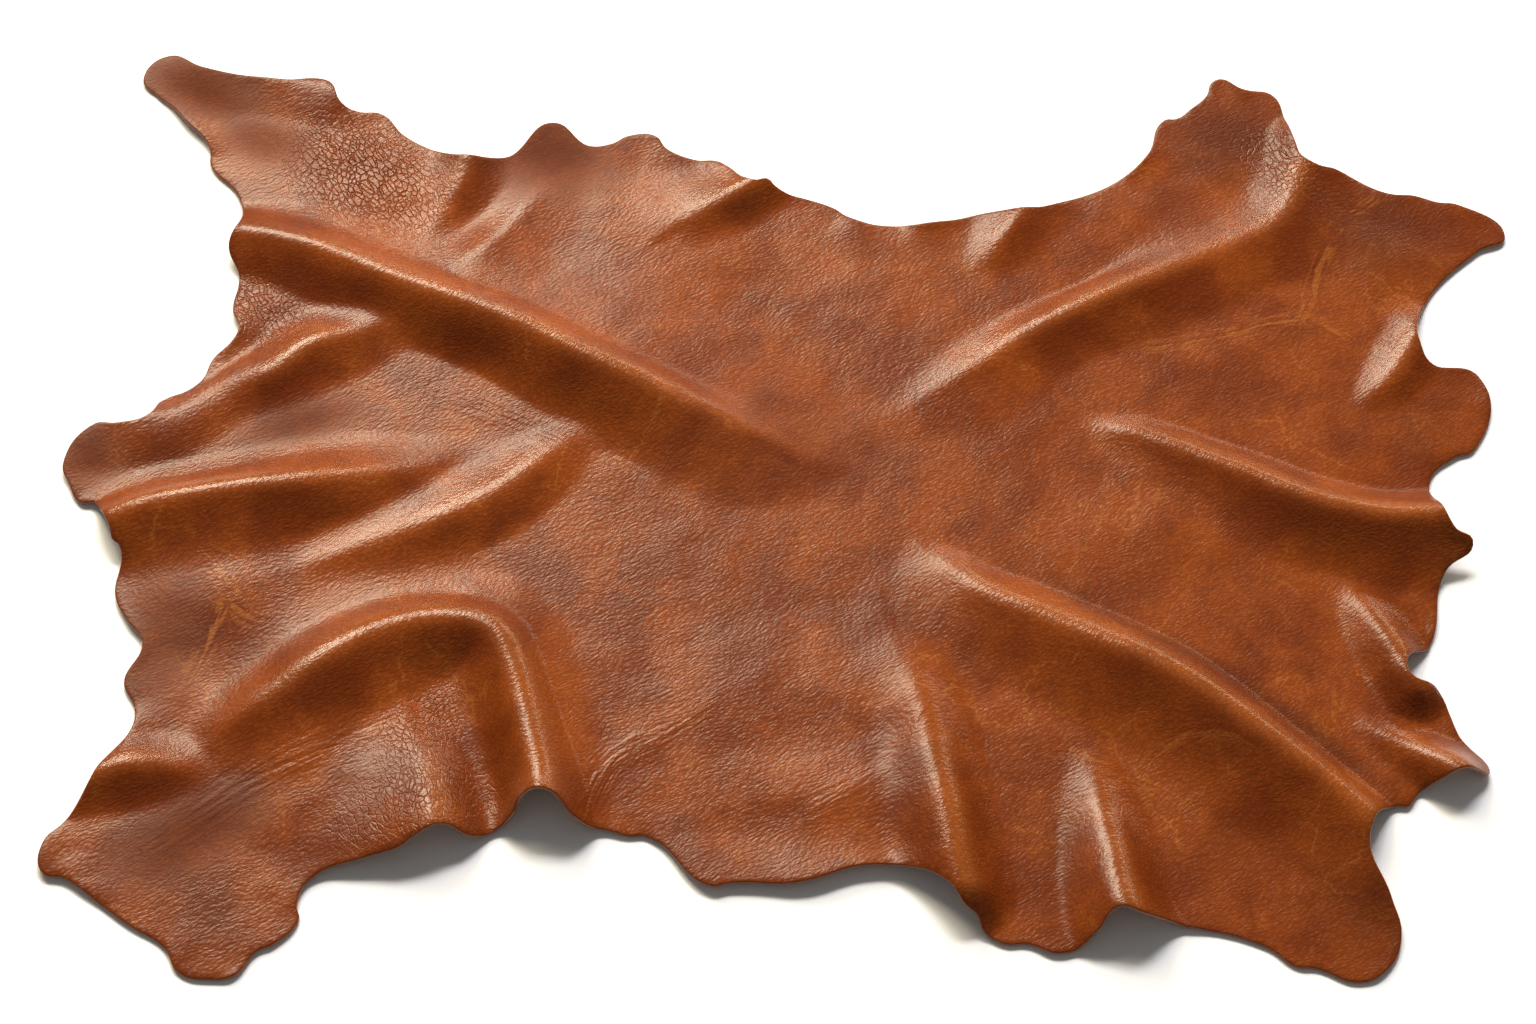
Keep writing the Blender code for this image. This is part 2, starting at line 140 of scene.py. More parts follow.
# Folds, one row for each place on a crest: x and y of the crest, its height over the resting
# surface, how far the fold reaches on its near side and on its far side, and the radius that the
# crest bends to, all in millimetres. Each crest runs from left to right, with its far side on the
# left of the way it runs.
FOLDS = {
    "far_left_ridge": (
        (-432, 217, 6, 34, 28, 9),
        (-361, 199, 9, 44, 28, 9),
        (-285, 163, 11, 46, 28, 9),
        (-212, 131, 12, 48, 28, 9),
        (-140, 91, 13, 54, 29, 9),
        (-68, 54, 10, 60, 31, 11),
        (-33, 36, 6, 64, 34, 12),
        (4, 25, 2, 60, 34, 12),
        (30, 20, 0, 50, 30, 12),
    ),
    "far_right_ridge": (
        (12, 36, 0, 60, 36, 14),
        (48, 50, 1, 80, 44, 14),
        (82, 67, 3, 90, 46, 13),
        (126, 95, 7, 80, 44, 13),
        (176, 129, 12, 60, 34, 11),
        (232, 158, 14, 60, 28, 11),
        (307, 194, 10, 66, 56, 18),
        (355, 223, 11, 60, 56, 16),
        (376, 269, 13, 48, 44, 12),
        (382, 296, 13, 46, 44, 12),
    ),
    "near_right_ridge": (
        (86, -44, 0, 56, 34, 12),
        (126, -86, 13, 64, 34, 11),
        (176, -115, 21, 74, 36, 11),
        (251, -156, 29, 76, 36, 11),
        (322, -212, 27, 82, 30, 10),
        (365, -251, 23, 72, 28, 10),
        (399, -291, 19, 60, 32, 13),
    ),
    "right_end_ridge": (
        (205, 54, 0, 34, 28, 7),
        (246, 39, 9, 42, 30, 6),
        (314, 5, 17, 48, 32, 6),
        (361, -21, 23, 56, 36, 6),
        (413, -34, 26, 62, 38, 6),
        (468, -34, 28, 62, 38, 6),
    ),
    "left_end_ridge": (
        (-500, -41, 8, 36, 22, 9),
        (-458, -24, 12, 48, 23, 10),
        (-405, -14, 14, 54, 24, 10),
        (-343, -4, 11, 50, 32, 12),
        (-291, 5, 6, 44, 36, 14),
        (-238, 20, 0, 34, 30, 12),
    ),
    "far_left_short_ridge": (
        (-411, 78, 0, 36, 34, 9),
        (-375, 90, 10, 44, 42, 10),
        (-350, 112, 14, 48, 46, 11),
        (-319, 124, 10, 46, 44, 12),
        (-283, 137, 0, 34, 34, 12),
    ),
    "left_slanting_ridge": (
        (-361, -75, 0, 30, 32, 12),
        (-319, -58, 5, 38, 38, 14),
        (-280, -43, 9, 44, 46, 15),
        (-245, -28, 11, 48, 50, 15),
        (-206, -5, 11, 48, 50, 15),
        (-176, 23, 7, 44, 46, 15),
        (-147, 46, 0, 34, 36, 14),
    ),
    "near_left_hook": (
        (-406, -204, 0, 44, 24, 12),
        (-380, -187, 6, 54, 34, 14),
        (-350, -168, 11, 68, 38, 16),
        (-321, -144, 13, 68, 38, 15),
        (-281, -121, 11, 52, 32, 12),
        (-243, -113, 11, 46, 27, 11),
        (-211, -121, 12, 44, 25, 11),
        (-196, -147, 14, 42, 24, 11),
        (-184, -188, 17, 34, 25, 11),
        (-175, -229, 22, 30, 30, 12),
        (-170, -259, 25, 28, 34, 13),
        (-167, -274, 26, 28, 34, 13),
    ),
    "near_left_arch": (
        (-264, -184, 0, 60, 34, 12),
        (-248, -232, 14, 84, 36, 14),
        (-242, -268, 19, 90, 36, 14),
        (-240, -290, 19, 90, 36, 14),
    ),
    "near_middle_ridge": (
        (72, -120, 0, 40, 36, 16),
        (88, -194, 10, 42, 40, 14),
        (97, -249, 16, 46, 42, 13),
        (103, -293, 19, 46, 42, 12),
        (107, -313, 19, 46, 42, 12),
    ),
    "near_right_arch": (
        (197, -206, 0, 38, 36, 12),
        (204, -262, 13, 42, 40, 11),
        (211, -315, 25, 44, 42, 11),
        (217, -341, 30, 44, 42, 10),
        (222, -361, 30, 44, 42, 10),
    ),
    "corner_curl": (
        (372, -180, 0, 24, 30, 6),
        (412, -207, 10, 26, 32, 6),
        (441, -228, 22, 26, 30, 6),
        (449, -245, 24, 26, 28, 6),
    ),
    "far_edge_crest_left": (
        (-278, 199, 0, 26, 30, 10),
        (-253, 244, 7, 34, 44, 12),
        (-240, 280, 10, 36, 46, 12),
        (-233, 300, 10, 36, 46, 12),
    ),
    "far_edge_crest_inner": (
        (-252, 182, 0, 40, 30, 12),
        (-230, 195, 5, 52, 36, 14),
        (-211, 216, 6, 54, 38, 14),
        (-193, 242, 4, 46, 36, 14),
        (-182, 266, 0, 36, 30, 12),
    ),
    "far_edge_crest_middle": (
        (-91, 214, 0, 24, 44, 8),
        (-62, 236, 9, 32, 66, 9),
        (-28, 258, 12, 34, 70, 9),
        (-15, 271, 12, 34, 70, 9),
    ),
    "far_edge_crest_right": (
        (131, 178, 0, 28, 34, 8),
        (153, 209, 8, 36, 44, 8),
        (175, 244, 9, 38, 46, 8),
    ),
    "right_notch_ridge": (
        (378, -76, 0, 26, 28, 8),
        (399, -114, 11, 34, 34, 8),
        (414, -146, 16, 32, 32, 8),
        (421, -162, 16, 32, 32, 8),
    ),
    "right_neck_ridge": (
        (399, 63, 0, 26, 30, 8),
        (429, 91, 9, 34, 40, 8),
        (451, 126, 10, 34, 40, 8),
    ),
    "left_shank_ridge": (
        (-487, -236, 10, 34, 34, 8),
        (-454, -222, 14, 42, 40, 8),
        (-420, -222, 7, 38, 36, 8),
        (-396, -228, 0, 30, 30, 8),
    ),
}

# Broad shoulders that carry some of the folds, in rows of x and y on the crest, height, and reach
# on the near side and on the far side, in millimetres.
SHOULDERS = {
    "far_left_ridge": (
        (-432, 217, 6, 38, 40),
        (-361, 199, 9, 46, 54),
        (-285, 163, 12, 48, 76),
        (-212, 131, 14, 51, 106),
        (-140, 91, 14, 60, 126),
        (-68, 54, 10, 74, 120),
        (-33, 36, 6, 80, 104),
        (4, 25, 2, 70, 80),
        (30, 20, 0, 50, 60),
    ),
    "left_end_ridge": (
        (-500, -41, 6, 44, 44),
        (-458, -24, 9, 56, 50),
        (-405, -14, 11, 62, 52),
        (-343, -4, 10, 56, 60),
        (-291, 5, 6, 50, 60),
        (-238, 20, 0, 36, 50),
    ),
    "near_left_hook": (
        (-406, -204, 0, 50, 50),
        (-380, -187, 4, 60, 56),
        (-350, -168, 8, 80, 70),
        (-321, -144, 10, 80, 78),
        (-281, -121, 10, 62, 72),
        (-243, -113, 9, 52, 66),
        (-211, -121, 9, 50, 66),
        (-199, -148, 8, 54, 66),
        (-188, -188, 8, 50, 60),
        (-177, -229, 8, 46, 56),
        (-169, -274, 10, 46, 56),
    ),
    "near_middle_ridge": (
        (62, -100, 0, 80, 40),
        (84, -194, 4, 100, 46),
        (96, -270, 6, 110, 46),
        (104, -313, 6, 100, 46),
    ),
    "near_edge": (
        (-102, -266, 0, 20, 50),
        (-58, -308, 5, 20, 60),
        (-20, -312, 6, 20, 64),
        (30, -300, 6, 20, 60),
        (70, -296, 3, 20, 50),
    ),
    "near_left_edge": (
        (-330, -318, 2, 20, 40),
        (-290, -290, 6, 20, 54),
        (-257, -276, 7, 20, 54),
        (-215, -274, 3, 20, 40),
    ),
    "left_tip_edge": (
        (-516, 13, 0, 30, 20),
        (-507, 41, 6, 44, 20),
        (-480, 51, 8, 50, 22),
        (-439, 58, 7, 46, 22),
        (-395, 92, 4, 36, 20),
        (-365, 118, 0, 30, 20),
    ),
    "far_left_tip_edge": (
        (-487, 377, 0, 30, 20),
        (-437, 360, 4, 44, 20),
        (-379, 353, 6, 50, 20),
        (-337, 339, 5, 46, 20),
        (-307, 317, 0, 34, 20),
    ),
}

# Broad low swells: x and y of the middle, height, half length and half width in millimetres,
# and the turn of the long way from +X in degrees.
SWELLS = {
    "left_middle": (-347, -58, 3, 150, 70, 12),
    "centre": (-20, -170, 4, 200, 120, 20),
    "left_end": (-399, -84, 7, 100, 74, 0),
    "right_middle": (268, -34, 3, 160, 80, 10),
    "far_middle": (-115, 220, 5, 170, 70, -20),
    "far_right": (239, 229, 3, 120, 60, 25),
    "near_middle": (21, -243, 4, 110, 60, 5),
    "near_left": (-315, -236, 5, 120, 60, 20),
    "far_right_shank": (420, 193, 4, 90, 60, -20),
}

# Bands of fine parallel wrinkles in the grain, one row for each place along the middle of a
# band: x and y, the half width of the band in millimetres, and how deep the wrinkles are from 0 to 1.
WRINKLES = {
    "beside_hook": (
        (-146, -265, 9, 0.6), (-142, -247, 10, 1.0), (-130, -220, 11, 1.0), (-113, -205, 10, 0.9),
        (-88, -192, 9, 0.7), (-62, -174, 8, 0.4), (-44, -161, 8, 0.0),
    ),
    "near_left_shank": (
        (-440, -285, 11, 0.0), (-426, -275, 13, 0.8), (-382, -241, 14, 1.0), (-330, -211, 13, 0.8),
        (-271, -185, 12, 0.3), (-240, -165, 10, 0.0),
    ),
    "beside_middle_ridge": (
        (1, -255, 9, 0.0), (12, -252, 9, 0.7), (67, -217, 8, 0.7), (82, -182, 8, 0.5),
        (106, -143, 7, 0.0),
    ),
    "below_far_left_ridge": (
        (-260, 82, 10, 0.0), (-233, 71, 12, 0.6), (-168, 37, 13, 0.7), (-111, 4, 12, 0.3),
        (-80, -10, 10, 0.0),
    ),
}

# Lines of painted shade in the troughs beyond two crests, laid as darker dye, in rows like those of the
# wrinkles
SHADED_TROUGHS = {
    "beyond_near_right_ridge": (
        (140, -60, 8, 0.0), (180, -81, 9, 0.5), (222, -113, 9, 0.7), (269, -136, 9, 0.8),
        (315, -167, 9, 0.9), (360, -205, 9, 0.9), (397, -239, 8, 0.5),
    ),
    "beyond_left_end_ridge": (
        (-492, 2, 12, 0.3), (-445, 20, 13, 0.6), (-400, 30, 12, 0.5), (-350, 40, 10, 0.0),
    ),
}

# Worn lines where the dye is rubbed thin along old scratches and veins, in rows like those above
WORN_LINES = {
    "left_end_upper": (
        (-418, -50, 7, 0.0), (-403, -66, 7, 0.9), (-393, -85, 8, 1.0), (-392, -96, 8, 1.0),
    ),
    "left_end_lower": (
        (-394, -93, 7, 1.0), (-403, -120, 6, 1.0), (-414, -148, 6, 0.7), (-423, -169, 5, 0.0),
    ),
    "left_end_branch": (
        (-393, -96, 8, 1.0), (-378, -106, 8, 0.9), (-361, -110, 7, 0.6), (-340, -114, 6, 0.0),
    ),
    "far_right_arc": (
        (435, 259, 5, 0.0), (426, 243, 6, 0.7), (401, 225, 6, 0.8), (384, 190, 6, 0.8),
        (368, 146, 7, 1.0),
    ),
    "far_right_left_arm": (
        (370, 143, 7, 1.0), (337, 136, 6, 0.8), (309, 127, 6, 0.9), (266, 118, 6, 0.8),
        (240, 113, 6, 0.0),
    ),
    "far_right_right_arm": (
        (366, 143, 6, 1.0), (393, 127, 5, 0.8), (424, 110, 5, 0.6), (437, 95, 5, 0.0),
    ),
    "near_right_arc": (
        (163, -209, 6, 0.0), (187, -212, 6, 0.6), (223, -228, 6, 0.7), (256, -249, 6, 0.6),
        (276, -278, 6, 0.0),
    ),
    "near_right_rise": (
        (223, -228, 6, 0.0), (248, -206, 6, 0.6), (282, -201, 6, 0.5), (312, -218, 6, 0.0),
    ),
    "middle_right_line": (
        (223, -60, 5, 0.0), (235, -28, 5, 0.6), (242, -2, 5, 0.5), (251, 20, 5, 0.0),
    ),
}

# Patches of loose skin whose grain is cracked into a net: x and y of the middle, how strong the
# net is there, half length and half width in millimetres, and the turn of the long way in degrees.
LOOSE_SKIN = {
    "far_left": (-319, 266, 1.0, 100, 62, -40),
    "left_flank": (-395, 150, 0.6, 70, 40, -30),
    "near_left_bay": (-250, -250, 0.5, 90, 50, 20),
    "inside_hook": (-255, -190, 0.5, 60, 40, 60),
    "far_right": (360, 275, 0.5, 60, 40, -60),
}

# Patches dyed deeper, some of them painted shade where a slope or flank faces away from the light;
# patches left without wax and so duller; and patches rubbed paler, one of them painted light on a
# shaded flank; in rows like those above
DEEP_DYE_AND_SHADE = {
    "far_left_tip": (-445, 345, 1.0, 80, 42, -25),
    "far_left_neck": (-398, 300, 0.7, 60, 34, -20),
    "far_edge_hump": (-180, 290, 1.0, 70, 60, 0),
    "far_edge_middle": (-40, 237, 0.7, 42, 27, -20),
    "far_right_shank": (325, 300, 1.0, 60, 80, -70),
    "far_right_corner": (425, 215, 1.0, 90, 60, -20),
    "left_tip": (-501, 25, 0.7, 42, 40, 10),
    # painted shade: this slope faces away from the light
    "left_end_low": (-435, -123, 0.6, 49, 80, 0),
    "near_left_shank": (-405, -268, 0.9, 90, 44, 30),
    # painted shade on the near side of the short ridge
    "below_short_ridge": (-354, 54, 0.7, 70, 28, 15),
    "near_left_tip": (-386, -321, 0.4, 64, 48, -30),
    # painted shade on the near flank under the far right ridge
    "under_far_right_ridge": (278, 139, 0.3, 78, 24, 25),
    "near_right_shank": (375, -328, 0.75, 70, 56, -25),
    "middle": (50, -84, 0.4, 78, 56, 0),
    # painted shade on the left face of the arch
    "arch_face": (176, -267, 0.6, 25, 56, 0),
    "far_flank_middle": (110, 205, 0.35, 60, 34, 0),
    "right_end_tip": (443, 50, 0.45, 50, 50, 0),
    "right_end_low": (411, -123, 0.6, 28, 56, 0),
}
DULLED = {
    "far_left_tip": (-445, 345, 1.0, 80, 42, -25),
    "far_left_neck": (-398, 300, 0.7, 60, 34, -20),
    "far_edge_hump": (-180, 290, 1.0, 80, 70, 0),
    "centre": (-10, 30, 0.25, 130, 80, 0),
    "left_tip": (-501, 25, 0.7, 42, 40, 10),
    "left_end_low": (-435, -123, 0.6, 49, 80, 0),
    "below_short_ridge": (-354, 54, 0.7, 70, 28, 15),
    "near_left_shank": (-405, -268, 0.9, 90, 44, 30),
}
PALE_DYE_AND_LIGHT = {
    "right_middle": (266, -60, 0.5, 85, 56, 0),
    "right_end": (371, -60, 0.5, 49, 48, 0),
    "near_right_middle": (232, -192, 0.5, 85, 48, -20),
    "far_right": (330, 120, 0.2, 64, 40, 20),
    "middle_right": (150, 5, 0.15, 57, 40, 20),
    "hook_flank": (-154, -169, 0.8, 21, 64, 0),
    "far_middle": (47, 183, 0.5, 78, 32, 0),
    "near_left": (-317, -200, 0.5, 64, 32, 40),
    # painted light on the shaded near flank of the far left ridge
    "below_far_left_ridge": (-168, 70, 0.6, 70, 26, -28),
    "near_right_low": (300, -285, 0.45, 60, 36, 0),
    "centre_left": (-105, -20, 0.35, 90, 50, 10),
}

# Dye of the leather, and the colours of its painted highlight and painted shade
DYE_LIGHT = "#8B400F"
DYE_DARK = "#702E0A"
DYE_STAIN = "#5A2410"
# deeper brown of dyed patches and of painted shade
DYE_DEEP_AND_SHADE = "#50200A"
# paler orange of rubbed patches, also painted light on one shaded flank
DYE_PALE_AND_LIGHT = "#96480F"
DYE_VEIN = "#A05A22"
# paler colour of the crests, partly pull-up and partly painted highlight
DYE_PULLED_AND_HIGHLIGHT = "#A05A2A"
DYE_RIM = "#6A3010"
# dark brown of the painted shade in the grain's hollows
DYE_HOLLOW_SHADE = "#2E1006"

# Waxed crests are rubbed smoother than the flat leather, and dulled patches are rougher by this
ROUGH_FLAT = 0.33
ROUGH_CREST = 0.23
ROUGH_DULLED = 0.5

# Grain, in millimetres. The real pores are under a millimetre apart and would vanish at this
# distance, so the pebbles are drawn two to three times coarser.
GRAIN_TURN = 28
PEBBLE_PITCH = 1.8
STREAK_PITCH = 1.9
STROKE_PITCH = 2.0
NET_CELL = 3.6
NET_TURN = -58
NET_STRETCH = 1.9
WRINKLE_PITCH = 4.0
SCRATCH_PITCH = 3.2
PEBBLE_RELIEF = 0.18
STREAK_RELIEF = 0.24
CRACK_RELIEF = 0.7
WRINKLE_RELIEF = 1.2
SOFT_RELIEF = 0.3
# Share of painted shade laid into the grain's hollows
HOLLOW_SHADE_SHARE = 0.55

# Larger patterns, in repeats to the metre: dye clouds about 67 mm across, stains of 42 mm, vein
# cells of 77 mm, the wander of the grain at 33 mm and its soft lumps at 17 mm
CLOUDS_PER_METRE = 15.0
STAINS_PER_METRE = 24.0
VEIN_CELLS_PER_METRE = 13.0
WANDERS_PER_METRE = 30.0
LUMPS_PER_METRE = 60.0

# Nap of the flesh side: patches of 22 mm, and fibres of about 2 mm, coarser than real ones
NAP_PATCHES_PER_METRE = 45.0
FIBRES_PER_METRE = 420.0
FIBRE_RELIEF = 0.3

# How strongly each kind of patch takes its colour, dye in some places and painted light and shade in
# others: attribute, share and dye
PATCH_COLOURS_AND_SHADES = (
    # deeper dye, and painted shade on some slopes and flanks
    ("deep_dye_and_shade", 0.75, DYE_DEEP_AND_SHADE),
    # paler dye, and painted light on one shaded flank
    ("pale_dye_and_light", 0.7, DYE_PALE_AND_LIGHT),
    # painted shade along the troughs beyond two crests
    ("trough_shade", 0.75, DYE_DEEP_AND_SHADE),
)


def deselect_all():
    """Leave nothing selected, so that the next operator acts on its own piece alone."""
    for thing in bpy.context.selected_objects:
        thing.select_set(False)


def along_curve(rows, step):
    """Run a smooth curve through the rows of a table and return rows every few millimetres."""
    table = np.array(rows, dtype=float)
    before = 2 * table[0] - table[1]
    after = 2 * table[-1] - table[-2]
    table = np.vstack([before, table, after])
    samples = []
    for first, start, end, last in zip(table, table[1:], table[2:], table[3:]):
        length = np.hypot(*(end - start)[:2])
        steps = max(2, round(length / step))
        t = np.arange(steps)[:, None] / steps
        linear = (end - first) * t
        square = (2 * first - 5 * start + 4 * end - last) * t ** 2
        cube = (3 * start - first - 3 * end + last) * t ** 3
        samples.append(start + (linear + square + cube) / 2)
    samples.append(table[-2:-1])
    return np.vstack(samples)


def fold_section(share, height, reach, radius):
    """Height across a fold at a share of its reach: a round crest, then a flank easing out flat."""
    wanted = 2 * height * radius / reach ** 2
    roundness = np.clip(wanted, 0.02, 0.49)
    bend = roundness / np.sqrt(1 - 2 * roundness)
    fallen = (np.sqrt(share ** 2 + bend ** 2) - bend) / (np.sqrt(1 + bend ** 2) - bend)
    return height * (1 - fallen) ** 2


def line_places(x, y, line, reach):
    """Where each place lies beside a line: along it, and across it (far side positive)."""
    line_x, line_y = line[:, 0], line[:, 1]
    way_x = np.gradient(line_x)
    way_y = np.gradient(line_y)
    stride = np.hypot(way_x, way_y)
    way_x, way_y = way_x / stride, way_y / stride
    run = np.concatenate([[0], np.cumsum(np.hypot(np.diff(line_x), np.diff(line_y)))])
    nearby = (x > line_x.min() - reach) & (x < line_x.max() + reach)
    nearby &= (y > line_y.min() - reach) & (y < line_y.max() + reach)
    along = np.zeros_like(x)
    across = np.full_like(x, 1e3)
    nearest = np.zeros(len(x), dtype=int)
    for place in np.array_split(np.flatnonzero(nearby), FOLD_BATCHES):
        away_x = x[place, None] - line_x
        away_y = y[place, None] - line_y
        index = np.hypot(away_x, away_y).argmin(axis=1)
        row = np.arange(len(place))
        forward = away_x[row, index] * way_x[index] + away_y[row, index] * way_y[index]
        side = way_x[index] * away_y[row, index] - way_y[index] * away_x[row, index]
        distance = np.hypot(away_x[row, index], away_y[row, index])
        along[place] = run[index] + forward
        across[place] = np.where(side >= 0, distance, -distance)
        nearest[place] = index
    return along, across, nearest


def fold_height(x, y, crest):
    """Height of one fold over the places x, y; rows without a crest radius make a soft shoulder."""
    crest_x, crest_y, crest_height, near_reach, far_reach = crest.T[:5]
    crest_height = np.clip(crest_height, 0, None)
    way_x = np.gradient(crest_x)
    way_y = np.gradient(crest_y)
    widest = crest[:, 3:5].max()
    nearby = (x > crest_x.min() - widest) & (x < crest_x.max() + widest)
    nearby &= (y > crest_y.min() - widest) & (y < crest_y.max() + widest)
    height = np.zeros_like(x)
    for place in np.array_split(np.flatnonzero(nearby), FOLD_BATCHES):
        away_x = x[place, None] - crest_x
        away_y = y[place, None] - crest_y
        on_far_side = way_x * away_y - way_y * away_x > 0
        reach = np.where(on_far_side, far_reach, near_reach)
        share = np.clip(np.hypot(away_x, away_y) / reach, 0, 1)
        if crest.shape[1] > 5:
            section = fold_section(share, crest_height, reach, crest[:, 5])
        else:
            section = crest_height * np.cos(share * np.pi / 2) ** 2
        height[place] = section.max(axis=1)
    return height


def swell_height(x, y, swell):
    """Height of one broad oval swell over the places x, y."""
    middle_x, middle_y, crown, half_length, half_width, turn = swell
    angle = math.radians(turn)
    along = (x - middle_x) * math.cos(angle) + (y - middle_y) * math.sin(angle)
    across = (y - middle_y) * math.cos(angle) - (x - middle_x) * math.sin(angle)
    share = np.clip(np.hypot(along / half_length, across / half_width), 0, 1)
    return crown * np.cos(share * np.pi / 2) ** 2


def underside_height(x, y):
    """Height of the underside at x, y: where two folds meet, the higher one leads."""
    height = np.zeros_like(x)
    for table in (FOLDS, SHOULDERS):
        cubes = np.zeros_like(x)
        for rows in table.values():
            cubes += fold_height(x, y, along_curve(rows, CREST_STEP)) ** 3
        height += np.cbrt(cubes)
    for swell in SWELLS.values():
        height += swell_height(x, y, swell)
    risen = np.clip(height - SETTLED_HEIGHT, 0, None)
    return np.where(risen < SETTLED_EASE, risen ** 2 / (2 * SETTLED_EASE), risen - SETTLED_EASE / 2)


def crest_places(x, y):
    """For the grain on the crests: place along and across the nearest crest, and its pull there."""
    places = np.zeros((len(x), 3))
    pull = np.zeros_like(x)
    for number, rows in enumerate(FOLDS.values()):
        crest = along_curve(rows, CREST_STEP)
        along, across, nearest = line_places(x, y, crest, LINE_REACH)
        tall = np.clip(crest[nearest, 2] / CREST_FULL_HEIGHT, 0, 1)
        here = tall * np.exp(-(((across - CREST_PULL_SHIFT) / CREST_PULL_WIDTH) ** 2))
        stronger = here > pull
        pull[stronger] = here[stronger]
        pattern = np.full_like(x, number * PATTERN_GAP)
        places[stronger] = np.column_stack([along, across, pattern])[stronger]
    return places * MM, pull


def band_places(x, y, bands):
    """Place along and across the strongest band of a table, and how strong it is there."""
    places = np.zeros((len(x), 3))
    strength = np.zeros_like(x)
    for number, rows in enumerate(bands.values()):
        line = along_curve(rows, CREST_STEP)
        along, across, nearest = line_places(x, y, line, LINE_REACH)
        here = np.clip(line[nearest, 3], 0, 1) * np.exp(-((across / line[nearest, 2]) ** 2))
        stronger = here > strength
        strength[stronger] = here[stronger]
        pattern = np.full_like(x, number * PATTERN_GAP)
        places[stronger] = np.column_stack([along, across, pattern])[stronger]
    return places * MM, strength


def patch_strength(x, y, patches):
    """The strongest of a table of soft oval patches over the places x, y."""
    strength = np.zeros_like(x)
    for patch in patches.values():
        strength = np.maximum(strength, swell_height(x, y, patch))
    return strength


def outline_points():
    """The outline as evenly spaced points on one smooth closed curve."""
    knots = [point for stretch in OUTLINE.values() for point in stretch]
    curve = bpy.data.curves.new("hide_outline", "CURVE")
    curve.dimensions = "2D"
    curve.resolution_u = 12
    spline = curve.splines.new("BEZIER")
    spline.use_cyclic_u = True
    spline.bezier_points.add(len(knots) - 1)
    for bezier, (x, y) in zip(spline.bezier_points, knots):
        bezier.co = (x, y, 0.0)
        bezier.handle_left_type = "AUTO"
        bezier.handle_right_type = "AUTO"
    holder = bpy.data.objects.new("hide_outline", curve)
    bpy.context.scene.collection.objects.link(holder)
    bpy.context.view_layer.update()
    mesh = holder.to_mesh()
    dense = np.array([vert.co.to_tuple()[:2] for vert in mesh.vertices])
    holder.to_mesh_clear()
    bpy.data.objects.remove(holder, do_unlink=True)
    loop = np.vstack([dense, dense[:1]])
    length = np.concatenate([[0], np.cumsum(np.hypot(*np.diff(loop, axis=0).T))])
    places = np.linspace(0, length[-1], round(length[-1] / RIM_PITCH), endpoint=False)
    return np.column_stack([np.interp(places, length, loop[:, axis]) for axis in (0, 1)])


def inside_outline(x, y, rim):
    """Whether each place lies inside the closed rim."""
    inside = np.zeros(len(x), dtype=bool)
    for (x0, y0), (x1, y1) in zip(rim, np.roll(rim, -1, axis=0)):
        if y0 == y1:
            continue
        crosses = (y0 > y) != (y1 > y)
        inside ^= crosses & (x < x0 + (y - y0) * (x1 - x0) / (y1 - y0))
    return inside


def rim_distance(x, y, rim):
    """Distance of each place from the nearest rim point."""
    nearest = np.full(len(x), 1e9)
    for place in np.array_split(np.arange(len(x)), RIM_BATCHES):
        away = np.hypot(x[place, None] - rim[:, 0], y[place, None] - rim[:, 1])
        nearest[place] = away.min(axis=1)
    return nearest


def flat_net():
    """A net of even triangles that fills the outline, in millimetres, lying flat."""
    rim = outline_points()
    low = rim.min(axis=0)
    high = rim.max(axis=0)
    row_pitch = NET_PITCH * math.sqrt(3) / 2
    rows = np.arange(low[1], high[1], row_pitch)
    columns = np.arange(low[0], high[0], NET_PITCH)
    x, y = np.meshgrid(columns, rows)
    x = x + (np.arange(len(rows)) % 2)[:, None] * NET_PITCH / 2
    x = x.ravel()
    y = y.ravel()
    kept = inside_outline(x, y, rim)
    x = x[kept]
    y = y[kept]
    clear = rim_distance(x, y, rim) > NET_PITCH * 0.6
    places = [Vector(point) for point in rim]
    places += [Vector(point) for point in zip(x[clear], y[clear])]
    rim_edges = [(i, (i + 1) % len(rim)) for i in range(len(rim))]
    inside_constraints = 1
    points, edges, faces, *sources = geometry.delaunay_2d_cdt(
        places, rim_edges, [], inside_constraints, 0.0001
    )
    return np.array([tuple(point) for point in points]), faces, rim


def unevenness(x, y, rim_away):
    """The slight unevenness of soft leather: long waves, shorter ones, and a lifted rim."""
    waves = []
    for px, py, away in zip(x, y, rim_away):
        long_wave = noise.noise(Vector((px / LONG_WAVE[0], py / LONG_WAVE[1], 0.3)))
        short_wave = noise.noise(Vector((px / SHORT_WAVE[0], py / SHORT_WAVE[1], 4.1)))
        rim_wave = noise.noise(Vector((px / RIM_WAVE[0], py / RIM_WAVE[1], 9.7)))
        lift = max(0.0, rim_wave + 0.15) * RIM_LIFT * math.exp(-away / RIM_LIFT_REACH)
        waves.append(LONG_WAVE_HEIGHT * long_wave + SHORT_WAVE_HEIGHT * short_wave + lift)
    return np.array(waves)


